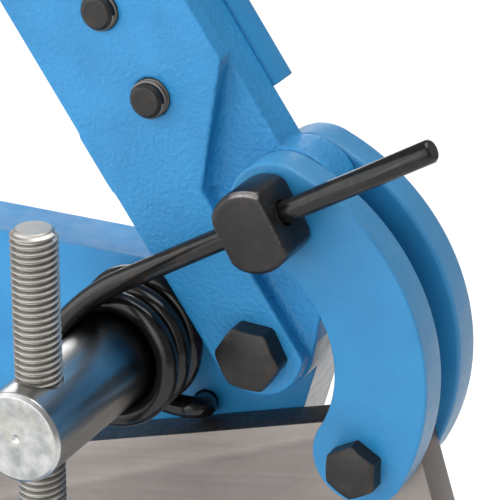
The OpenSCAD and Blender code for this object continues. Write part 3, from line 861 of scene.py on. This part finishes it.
class Shape:
    """One mesh gathered with bmesh operators, in metres in the part's frame."""

    FLAT_TURN = 0.5
    HEX_FACE_SHARE = 0.462
    HEX_CONE_SLOPE = 0.577
    COVE_SUNK = 0.3
    THREAD_DEPTH_SHARE = 0.61

    def __init__(self, name: str) -> None:
        """Starts an empty mesh.

        Args:
            name: The object's name.
        """
        self.name = name
        self.bm = bmesh.new()

    def copy_node(self, node: str, seam: float = 0.001) -> "Shape":
        """Adds a copy of a CAD node's mesh, with its seams closed.

        Args:
            node: The CAD node.
            seam: Points closer than this become one, in millimetres.

        Returns:
            The shape itself.
        """
        self.bm.from_mesh(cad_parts[node].data)
        bmesh.ops.remove_doubles(self.bm, verts=self.bm.verts, dist=seam * MM)
        flat = math.radians(self.FLAT_TURN)
        bmesh.ops.dissolve_limit(self.bm, angle_limit=flat, verts=self.bm.verts, edges=self.bm.edges)
        return self

    def soften(self, width: float, segments: int = 3, angle: float = 40.0) -> "Shape":
        """Rounds the sharp edges.

        Args:
            width: Rounding, in millimetres.
            segments: Steps across the rounding.
            angle: Least turn of a sharp edge, in degrees.

        Returns:
            The shape itself.
        """
        least = math.radians(angle)
        inner = [e for e in self.bm.edges if len(e.link_faces) == 2]
        sharp = [e for e in inner if e.calc_face_angle(0.0) > least]
        bmesh.ops.bevel(
            self.bm,
            geom=sharp,
            offset=width * MM,
            segments=segments,
            profile=0.5,
            affect="EDGES",
            clamp_overlap=True,
            material=-1,
        )
        return self

    def outline(
        self, profile: Sequence[tuple[float, float]], centre: Vector, along: Vector
    ) -> list[bmesh.types.BMVert | bmesh.types.BMEdge]:
        """Adds a row of points beside an axis, joined by edges.

        Args:
            profile: Radius and distance along the axis of each point, in millimetres.
            centre: Start of the axis, in metres.
            along: Unit direction of the axis.

        Returns:
            The points and edges.
        """
        verts = [
            self.bm.verts.new(centre + Vector((r * MM, 0.0, 0.0)) + along * (d * MM)) for r, d in profile
        ]
        return verts + [self.bm.edges.new(pair) for pair in zip(verts, verts[1:])]

    def lathe(
        self,
        profile: Sequence[tuple[float, float]],
        centre: Vector,
        axis: Axis,
        steps: int = ROUND_STEPS,
    ) -> "Shape":
        """Adds a turned piece.

        Args:
            profile: Radius and distance along the axis of each point, in millimetres.
            centre: Start of the axis, in metres.
            axis: Which way the axis runs.
            steps: Steps round the axis.

        Returns:
            The shape itself.
        """
        along = Vector(axis.value)
        bmesh.ops.spin(
            self.bm,
            geom=self.outline(profile, centre, along),
            cent=centre,
            axis=along,
            angle=math.tau,
            steps=steps,
            use_merge=True,
        )
        poles = [v for v in self.bm.verts if (v.co - centre).cross(along).length < JOIN / 10]
        bmesh.ops.remove_doubles(self.bm, verts=poles, dist=JOIN)
        return self

    def hex_head(
        self, centre: tuple[float, float], across: float, base: float, top: float, spin: float
    ) -> "Shape":
        """Adds a hexagon head along Y, its outer corners cut by a cone.

        Args:
            centre: Place in X and Z, in millimetres.
            across: Width across the flats.
            base: Depth of the bearing face.
            top: Depth of the outer face.
            spin: Turn about the axis, in degrees.

        Returns:
            The shape itself.
        """
        face = across * self.HEX_FACE_SHARE
        outward = -1.0 if top < base else 1.0
        middle = place(centre[0], top, centre[1])
        move = Matrix.Translation(middle) @ Matrix.Rotation(math.radians(-90.0 * outward), 4, "X")
        made = bmesh.ops.create_circle(
            self.bm, cap_ends=True, radius=face * MM, segments=ROUND_STEPS, matrix=move
        )
        rim = list({e for v in made["verts"] for e in v.link_edges})
        for depth in (None, base):
            grown = bmesh.ops.extrude_edge_only(self.bm, edges=rim)["geom"]
            rim = [e for e in grown if isinstance(e, bmesh.types.BMEdge)]
            for vert in {v for e in rim for v in e.verts}:
                out = vert.co - middle
                angle = math.degrees(math.atan2(out.z, out.x)) - spin
                step = math.radians((angle % 60.0) - 30.0)
                reach = across / 2 / math.cos(step)
                cone = outward * (reach - face) * self.HEX_CONE_SLOPE
                level = top - cone if depth is None else depth
                flat = Vector((out.x, 0, out.z)).normalized() * (reach * MM)
                vert.co = Vector((middle.x, place(0, level, 0).y, middle.z)) + flat
            rim = [e for e in rim if len(e.link_faces) == 1]
        return self

    def cove(
        self, start: Vector, end: Vector, out: Vector, width: float, fade: float = 1.0, steps: int = 6
    ) -> "Shape":
        """Adds a hollow fillet along an inner corner between a wall and a face that looks to the operator.

        Args:
            start: First point of the corner, in metres.
            end: Last point of the corner, in metres.
            out: Unit direction from the wall along the face.
            width: Size of the fillet, in millimetres.
            fade: Share of that size which is left at the last point.
            steps: Steps across the fillet.

        Returns:
            The shape itself.
        """
        front = Vector((0.0, -1.0, 0.0))
        sunk = self.COVE_SUNK * MM
        size = width * MM
        spots = [
            start + out * size - front * sunk,
            start - out * sunk - front * sunk,
            start - out * sunk + front * size,
        ]
        for i in range(steps + 1):
            a = math.pi / 2 * i / steps
            spots.append(start + out * (size * (1 - math.cos(a))) + front * (size * (1 - math.sin(a))))
        cap = self.bm.faces.new([self.bm.verts.new(spot) for spot in spots])
        grown = bmesh.ops.extrude_face_region(self.bm, geom=[cap], use_keep_orig=True)["geom"]
        moved = [v for v in grown if isinstance(v, bmesh.types.BMVert)]
        bmesh.ops.translate(self.bm, verts=moved, vec=end - start)
        bmesh.ops.scale(self.bm, verts=moved, vec=(fade, fade, fade), space=Matrix.Translation(-end))
        return self

    def thread(
        self, centre: Vector, axis: Axis, radius: float, pitch: float, length: float, steps: int = 24
    ) -> "Shape":
        """Adds a screw thread and its core.

        Args:
            centre: Start of the thread, in metres.
            axis: Which way it runs.
            radius: Outer radius, in millimetres.
            pitch: Rise of each turn, in millimetres.
            length: Length of the thread, in millimetres.
            steps: Steps in each turn.

        Returns:
            The shape itself.
        """
        along = Vector(axis.value)
        root = radius - self.THREAD_DEPTH_SHARE * pitch
        turns = int(length / pitch) - 1
        # One tooth: its radius at shares of the pitch
        tooth = ((root, 0.0), (root, 0.12), (radius, 0.45), (radius, 0.57), (root, 0.9), (root, 1.0))
        bmesh.ops.spin(
            self.bm,
            geom=self.outline([(r, share * pitch) for r, share in tooth], centre, along),
            cent=centre,
            axis=along,
            dvec=along * (pitch * MM / steps),
            angle=math.tau * turns,
            steps=steps * turns,
        )
        bmesh.ops.remove_doubles(self.bm, verts=self.bm.verts, dist=JOIN)
        return self

    def finish(
        self,
        body: Body,
        slot: str,
        material: bpy.types.Material,
        nodes: Sequence[str] = (),
        angle: float = 35.0,
    ) -> bpy.types.Object:
        """Makes the object and ties it to its body.

        Args:
            body: Body it moves with.
            slot: Material slot of the record; not used.
            material: Its finish.
            nodes: CAD nodes it stands for.
            angle: Edges that turn more than this stay sharp, in degrees.

        Returns:
            The object.
        """
        bmesh.ops.recalc_face_normals(self.bm, faces=self.bm.faces)
        mesh = bpy.data.meshes.new(self.name)
        self.bm.to_mesh(mesh)
        self.bm.free()
        made = stand_up(self.name, mesh, material, angle)
        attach(made, body.value)
        if nodes:
            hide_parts(*nodes)
        log.info("built %s: %d faces", self.name, len(mesh.polygons))
        return made


def bake(made: bpy.types.Object) -> None:
    """Applies an object's modifiers to its mesh.

    Args:
        made: The object.
    """
    graph = bpy.context.evaluated_depsgraph_get()
    mesh = bpy.data.meshes.new_from_object(made.evaluated_get(graph))
    made.modifiers.clear()
    made.data = mesh
    mesh.shade_smooth()


def dress(names: Sequence[str], material: bpy.types.Material) -> None:
    """Gives CAD nodes their finish.

    Args:
        names: The CAD nodes.
        material: The finish.
    """
    for name in names:
        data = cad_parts[name].data
        data.materials.clear()
        data.materials.append(material)
        log.info("dressed %s", name)


@dataclass
class Lever:
    """Cast head, flat handle bar, its bolts, the tube, the rivet and the grip."""

    finishes: Finishes
    voxel: float = 0.5
    ease: float = 0.5
    rounds: int = 2
    flat_edge: float = 0.5
    fillets: tuple[float, float] = (1.7, 5.0)
    fades: tuple[float, float] = (1.0, 0.25)
    cheek: tuple[tuple[float, float], ...] = ((10.9, -5.5), (10.9, 43.0), (31.5, 65.2))
    bolt_v: float = 12.3
    bolt_u: tuple[float, float] = (69.8, 94.9)
    bolt_out: tuple[float, float] = (3.9, 2.8)
    bolt_head: tuple[float, float, float] = (16.0, 21.0, 27.4)
    bolt_tip: tuple[tuple[float, float], ...] = ((0.0, 0.0), (3.6, 0.0), (4.5, 0.9), (4.5, 3.0))
    thread_in: float = 0.5
    thread: tuple[float, float, float] = (5.0, 1.5, 9.0)

    def casting(self) -> None:
        """Builds the cast head: upright while it is meshed anew, so that its long edges stay straight."""
        shape = Shape("lever_casting").copy_node("lever_head")
        for low, high, width, fade in zip(self.cheek, self.cheek[1:], self.fillets, self.fades):
            corners = (turned(*spot, LAYOUT.lean) for spot in (low, high))
            start, end = (place(x, 0.0, z) for x, z in corners)
            along = (end - start).normalized()
            shape.cove(start, end, Vector((along.z, 0.0, -along.x)), width, fade)
        upright = Matrix.Rotation(math.radians(LAYOUT.lean), 3, "Y")
        pivot = place(0.0, 0.0, 0.0)
        bmesh.ops.rotate(shape.bm, cent=pivot, matrix=upright, verts=shape.bm.verts)
        head = shape.finish(Body.LEVER, "blue_cast", self.finishes.cast, ["lever_head"])
        net = head.modifiers.new("net", "REMESH")
        net.mode = "VOXEL"
        net.voxel_size = self.voxel * MM
        net.use_smooth_shade = True
        ease = head.modifiers.new("ease", "SMOOTH")
        ease.factor = self.ease
        ease.iterations = self.rounds
        bake(head)
        back = Matrix.Translation(pivot) @ upright.inverted().to_4x4() @ Matrix.Translation(-pivot)
        head.data.transform(back)

    def build(self) -> None:
        """Builds every piece of the lever."""
        self.casting()
        Shape("handle_flat").copy_node("handle_bar").soften(self.flat_edge, 2).finish(
            Body.LEVER, "blue_paint", self.finishes.worn_and_highlit, ["handle_bar"]
        )
        bolts, threads = Shape("handle_screws"), Shape("handle_threads")
        for u, out in zip(self.bolt_u, self.bolt_out):
            x, z = turned(self.bolt_v, u, LAYOUT.lean)
            tip = LAYOUT.cheek_front - out
            bolts.hex_head((x, z), *self.bolt_head, -LAYOUT.lean)
            threads.thread(place(x, tip + self.thread_in, z), Axis.BACK, *self.thread)
            bolts.lathe(self.bolt_tip, place(x, tip, z), Axis.BACK)
        bolts.finish(Body.LEVER, "black_bolt", self.finishes.black, ["handle_bolts"])
        threads.finish(Body.LEVER, "black_bolt", self.finishes.threads)
        dress(["handle_tube"], self.finishes.paint)
        dress(["handle_rivet"], self.finishes.zinc)
        dress(["handle_grip"], self.finishes.rubber)


@dataclass
class Links:
    """Both curved links, their bolt and its nut."""

    finishes: Finishes
    rim: float = 1.2
    seam: float = 0.08
    head_across: float = 13.0
    head_height: float = 5.3
    head_turn: float = 29.0
    shank_lift: float = 0.05
    shank: tuple[tuple[float, float], ...] = ((4.0, 0.0), (4.0, 40.0), (3.2, 41.0), (0.0, 41.0))

    def build(self) -> None:
        """Builds the links."""
        for node in ("near_link", "far_link"):
            Shape(f"{node}_plate").copy_node(node, self.seam).soften(self.rim, 4).finish(
                Body.LINKS, "blue_paint", self.finishes.plate, [node]
            )
        (x, z), front = LAYOUT.link, LAYOUT.link_front
        bolt = Shape("link_bolt_head")
        bolt.hex_head((x, z), self.head_across, front, front - self.head_height, self.head_turn)
        bolt.lathe(self.shank, place(x, front - self.shank_lift, z), Axis.BACK)
        bolt.finish(Body.LINKS, "black_bolt", self.finishes.black, ["link_bolt"])
        dress(["link_nut"], self.finishes.black)


@dataclass
class Pin:
    """Flatted pin that the spring arm passes through."""

    finishes: Finishes
    edge: float = 0.35

    def build(self) -> None:
        """Dresses the pin, its washer and its retaining ring."""
        Shape("pin_turned").copy_node("spring_pin").soften(self.edge, 2).finish(
            Body.PIN, "black_bolt", self.finishes.pin, ["spring_pin"]
        )
        dress(["pin_washer", "pin_clip"], self.finishes.black)


@dataclass
class Spring:
    """Return spring: arm, coil round the bar, and rear leg."""

    finishes: Finishes
    wire: float = 6.0
    coil: float = 15.4
    pitch: float = 7.0
    loose: float = 1.4
    turns: int = 3
    arm_past: float = 50.0
    tip: float = 0.6
    arm_lift: float = 0.4
    bend_out: float = 45.0
    leg_out: float = 12.8
    leg_from: float = 222.0
    leg_to: float = 273.0
    hook: float = 3.8
    hook_way: tuple[float, float, float] = (-0.42, 0.86, -0.28)
    leg_deep: float = 8.0
    arm_knot: float = 20.0
    bend_steps: int = 16
    coil_step: float = 7.5
    leg_steps: int = 12
    round_steps: int = 6
    sharp: float = 50.0
    fixed_y: float = 4.0
    free_y: float = -17.0

    def path(self) -> list[Vector]:
        """Points along the middle of the wire.

        Returns:
            The points, from the arm's free end to the leg's end, in metres.
        """
        slope = math.radians(LAYOUT.arm_slope)
        d = Vector((math.cos(slope), math.sin(slope)))
        n = Vector((-d.y, d.x))
        bar = Vector(LAYOUT.bar)
        pin = Vector(LAYOUT.pin) + n * self.arm_lift
        off = (pin - bar).dot(n)
        bend = off + self.bend_out
        side = math.sqrt((bend - self.coil) ** 2 - (bend - off) ** 2)
        centre = bar - n * (bend - off) + d * side
        lead = bar - centre
        first = math.degrees(math.atan2(lead.y, lead.x))
        whole = self.turns * 360.0
        last = self.leg_from + whole
        reach = (pin - centre - n * bend).dot(d)
        rise = (LAYOUT.arm_y - LAYOUT.coil_y) / reach
        points = []
        for t in (self.arm_past, self.arm_past - self.tip, self.arm_knot, 0.0, -reach / 2):
            spot = pin + d * t
            points.append(place(spot.x, LAYOUT.arm_y + rise * t, spot.y))
        begin = 90.0 + LAYOUT.arm_slope
        for i in range(self.bend_steps):
            degrees = begin + (first - begin) * i / self.bend_steps
            points.append(self.ring(centre, bend, degrees, LAYOUT.coil_y))
        steps = int((last - first) / self.coil_step)
        for i in range(steps + 1):
            degrees = first + (last - first) * i / steps
            depth = LAYOUT.coil_y + self.pitch * (degrees - first) / 360.0
            slack = max(0.0, degrees - whole) / self.leg_from
            radius = self.coil + self.loose * math.sin(math.pi * slack) ** 2
            points.append(self.ring(bar, radius, degrees, depth))
        return points + self.leg(bar, LAYOUT.coil_y + self.pitch * (last - first) / 360.0)

    def leg(self, bar: Vector, depth: float) -> list[Vector]:
        """Points of the opened last bend and of the hook into the frame.

        Args:
            bar: The coil's axis in X and Z, in millimetres.
            depth: Depth at which the coil ends, in millimetres.

        Returns:
            The points, in metres.
        """
        radius = self.coil + self.leg_out
        start = math.radians(self.leg_from)
        axis = bar - self.leg_out * Vector((math.cos(start), math.sin(start)))
        shares = [i / self.leg_steps for i in range(1, self.leg_steps + 1)]
        sweep = self.leg_to - self.leg_from
        points = [self.ring(axis, radius, self.leg_from + sweep * share, depth) for share in shares]
        end = math.radians(self.leg_to)
        ahead = Vector((-math.sin(end), 0.0, math.cos(end)))
        way = Vector(self.hook_way).normalized()
        side = (way - ahead * way.dot(ahead)).normalized()
        turn = math.acos(way.dot(ahead))
        corner = points[-1]
        for a in (turn * share for share in shares):
            points.append(corner + (ahead * math.sin(a) + side * (1 - math.cos(a))) * (self.hook * MM))
        run = place(0.0, LAYOUT.frame_near + self.leg_deep, 0.0).y - points[-1].y
        points.append(points[-1] + way * (run / way.y))
        return points

    def ring(self, centre: Vector, radius: float, degrees: float, depth: float) -> Vector:
        """A point on a circle that faces the operator.

        Args:
            centre: The circle's centre in X and Z, in millimetres.
            radius: Its radius, in millimetres.
            degrees: Angle from X towards Z.
            depth: Its depth, in millimetres.

        Returns:
            The point, in metres.
        """
        a = math.radians(degrees)
        return place(centre.x + radius * math.cos(a), depth, centre.y + radius * math.sin(a))

    def build(self) -> None:
        """Sweeps the wire, from the arm's free end to its hook into the frame, and hides the CAD spring."""
        curve = bpy.data.curves.new("spring_path", "CURVE")
        curve.dimensions = "3D"
        curve.bevel_depth = self.wire / 2 * MM
        curve.bevel_resolution = self.round_steps
        curve.use_fill_caps = True
        points = self.path()
        line = curve.splines.new("POLY")
        line.points.add(len(points) - 1)
        for spot, point in zip(line.points, points):
            spot.co = (*point, 1.0)
        line.points[0].radius = 1.0 - self.tip / (self.wire / 2)
        holder = bpy.data.objects.new("spring_path", curve)
        bpy.context.scene.collection.objects.link(holder)
        graph = bpy.context.evaluated_depsgraph_get()
        mesh = bpy.data.meshes.new_from_object(holder.evaluated_get(graph))
        bpy.data.objects.remove(holder)
        mesh.name = "spring_coil"
        made = stand_up("spring_coil", mesh, self.finishes.spring, self.sharp)
        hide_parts("return_spring")
        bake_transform(made)
        log.info("built spring_coil: %d faces", len(mesh.polygons))


@dataclass
class HoldDown:
    """Round bar, its nut and the threaded screw."""

    finishes: Finishes
    radius: float = 6.0
    pitch: float = 1.75
    tip: tuple[tuple[float, float], ...] = ((5.0, -4.0), (5.0, -0.6), (4.4, 0.0), (0.0, 0.0))
    head_height: float = 7.5
    head_corner: float = 10.97
    head_turn: float = 30.0
    head_edge: float = 0.5

    def build(self) -> None:
        """Builds the hold-down."""
        dress(["hold_down_bar"], self.finishes.bar)
        dress(["hold_down_nut"], self.finishes.zinc)
        x, y = LAYOUT.bar[0], LAYOUT.screw_y
        low = LAYOUT.screw_top - LAYOUT.screw_len
        start = place(x, y, low + self.head_height)
        length = LAYOUT.screw_len - self.head_height
        screw = Shape("hold_down_stud").thread(start, Axis.UP, self.radius, self.pitch, length)
        screw.lathe([(r, length + d) for r, d in self.tip], start, Axis.UP)
        middle = Matrix.Translation(place(x, y, low + self.head_height / 2))
        hexed = bmesh.ops.create_cone(
            screw.bm,
            cap_ends=True,
            segments=6,
            radius1=self.head_corner * MM,
            radius2=self.head_corner * MM,
            depth=self.head_height * MM,
            matrix=middle @ Matrix.Rotation(math.radians(self.head_turn), 4, "Z"),
        )
        rim = list({e for v in hexed["verts"] for e in v.link_edges})
        bmesh.ops.bevel(
            screw.bm,
            geom=rim,
            offset=self.head_edge * MM,
            segments=2,
            profile=0.5,
            affect="EDGES",
            material=-1,
        )
        screw.finish(Body.HOLD_DOWN, "stud_steel", self.finishes.stud, ["hold_down_screw"])


@dataclass
class Blades:
    """Swinging blade, fixed blade and their bolts."""

    finishes: Finishes
    edge: float = 0.3

    def build(self) -> None:
        """Builds the blades."""
        Shape("blade_plate").copy_node("upper_blade").soften(self.edge, 2).finish(
            Body.BLADE, "blade_steel", self.finishes.blade, ["upper_blade"]
        )
        dress(["lower_blade"], self.finishes.level)
        pivot = [f"blade_pivot_{kind}" for kind in ("bolt", "washer", "nut")]
        dress(["lower_blade_bolts", *pivot], self.finishes.black)


@dataclass
class Stand:
    """Frame plate, bed, feet, and the lever's pivot bolt."""

    finishes: Finishes
    head_across: float = 16.0
    head_height: float = 6.4
    head_turn: float = 57.0
    head_gap: float = 0.15
    shank_lift: float = 0.5
    shank: tuple[tuple[float, float], ...] = ((5.0, 0.0), (5.0, 48.6), (4.0, 49.6), (0.0, 49.6))

    def build(self) -> None:
        """Builds the stand."""
        dress(["frame_plate"], self.finishes.frame)
        dress(["bed_bar", "near_foot", "far_foot"], self.finishes.paint)
        dress(["foot_bolts", "foot_nuts"], self.finishes.zinc)
        front = LAYOUT.cheek_front - self.head_gap
        bolt = Shape("pivot_bolt_head")
        bolt.hex_head((0.0, 0.0), self.head_across, front, front - self.head_height, self.head_turn)
        bolt.lathe(self.shank, place(0.0, front - self.shank_lift, 0.0), Axis.BACK)
        bolt.finish(Body.FRAME, "black_bolt", self.finishes.black, ["lever_pivot_bolt"])
        dress(["lever_pivot_washer", "lever_pivot_nut"], self.finishes.black)


@dataclass(frozen=True)
class Lamp:
    """A soft rectangular light."""

    name: str
    at: tuple[float, float, float]
    size: tuple[float, float]
    watts: float


@dataclass
class Studio:
    """Floor, soft lights, white surroundings and the camera."""

    lamps: tuple[Lamp, ...] = (
        Lamp("key", (-0.6, -1.3, 0.8), (2.4, 1.8), 31.0),
        Lamp("front", (0.5, -1.7, 0.5), (1.0, 1.0), 5.0),
        Lamp("side", (-1.5, -0.4, 0.4), (0.8, 1.2), 7.0),
        Lamp("rear", (-0.9, 1.6, 0.6), (1.0, 0.8), 6.0),
        Lamp("top", (0.3, 0.2, 1.7), (1.2, 1.0), 20.0),
    )
    floor_reach: float = 1.2
    floor_steps: int = 96
    floor_colour: tuple[float, float, float, float] = (0.95, 0.95, 0.95, 1.0)
    floor_rough: float = 0.8
    white: tuple[float, float, float, float] = (1.0, 1.0, 1.0, 1.0)
    glow: float = 0.36
    aim: tuple[float, float, float] = (0.08, 0.0, 0.2)
    eye: tuple[float, float, float] = (269.4, -566.3, 296.4)
    back: tuple[float, float, float] = (0.3997, -0.8269, 0.3956)
    lens: float = 193.8
    sensor: float = 36.0
    clip: tuple[float, float] = (0.01, 50.0)

    def build(self) -> None:
        """Builds the studio."""
        bm = bmesh.new()
        bmesh.ops.create_circle(bm, cap_ends=True, segments=self.floor_steps, radius=self.floor_reach)
        mesh = bpy.data.meshes.new("floor")
        bm.to_mesh(mesh)
        bm.free()
        floor = bpy.data.objects.new("floor", mesh)
        bpy.context.scene.collection.objects.link(floor)
        g = Graph("floor")
        g.set(Base_Color=self.floor_colour, Roughness=self.floor_rough)
        mesh.materials.append(g.material)
        for lamp in self.lamps:
            self.light(lamp)
        self.surroundings()
        self.camera()

    def light(self, lamp: Lamp) -> None:
        """Adds one light.

        Args:
            lamp: What it is.
        """
        data = bpy.data.lights.new(lamp.name, "AREA")
        data.shape = "RECTANGLE"
        data.size, data.size_y = lamp.size
        data.energy = lamp.watts
        made = bpy.data.objects.new(lamp.name, data)
        made.location = lamp.at
        made.rotation_euler = (Vector(self.aim) - Vector(lamp.at)).to_track_quat("-Z", "Y").to_euler()
        bpy.context.scene.collection.objects.link(made)

    def surroundings(self) -> None:
        """Makes the white surroundings, with a softer level for light than for the view."""
        world = bpy.data.worlds.new("studio")
        bpy.context.scene.world = world
        world.use_nodes = True
        tree = world.node_tree
        tree.nodes.clear()
        out = tree.nodes.new("ShaderNodeOutputWorld")
        mix = tree.nodes.new("ShaderNodeMixShader")
        path = tree.nodes.new("ShaderNodeLightPath")
        soft, white = (tree.nodes.new("ShaderNodeBackground") for _ in range(2))
        soft.inputs["Color"].default_value = self.white
        soft.inputs["Strength"].default_value = self.glow
        white.inputs["Color"].default_value = self.white
        tree.links.new(path.outputs["Is Camera Ray"], mix.inputs["Fac"])
        tree.links.new(soft.outputs[0], mix.inputs[1])
        tree.links.new(white.outputs[0], mix.inputs[2])
        tree.links.new(mix.outputs[0], out.inputs["Surface"])

    def camera(self) -> None:
        """Places the camera."""
        data = bpy.data.cameras.new("camera")
        data.lens = self.lens
        data.sensor_width = self.sensor
        data.clip_start, data.clip_end = self.clip
        made = bpy.data.objects.new("camera", data)
        made.location = place(*self.eye)
        made.rotation_mode = "QUATERNION"
        made.rotation_quaternion = (-Vector(self.back)).to_track_quat("-Z", "Y")
        bpy.context.scene.collection.objects.link(made)
        bpy.context.scene.camera = made
        bpy.context.scene.view_settings.view_transform = "Standard"


def main() -> None:
    """Builds the shear's looks and the studio."""
    logging.basicConfig(level=logging.INFO, format="%(message)s")
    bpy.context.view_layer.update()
    finishes = Finishes()
    for part in (
        Stand(finishes),
        Blades(finishes),
        Links(finishes),
        Lever(finishes),
        Pin(finishes),
        Spring(finishes),
        HoldDown(finishes),
        Studio(),
    ):
        part.build()
        log.info("finished %s", type(part).__name__)


if __name__ == "__main__":
    main()
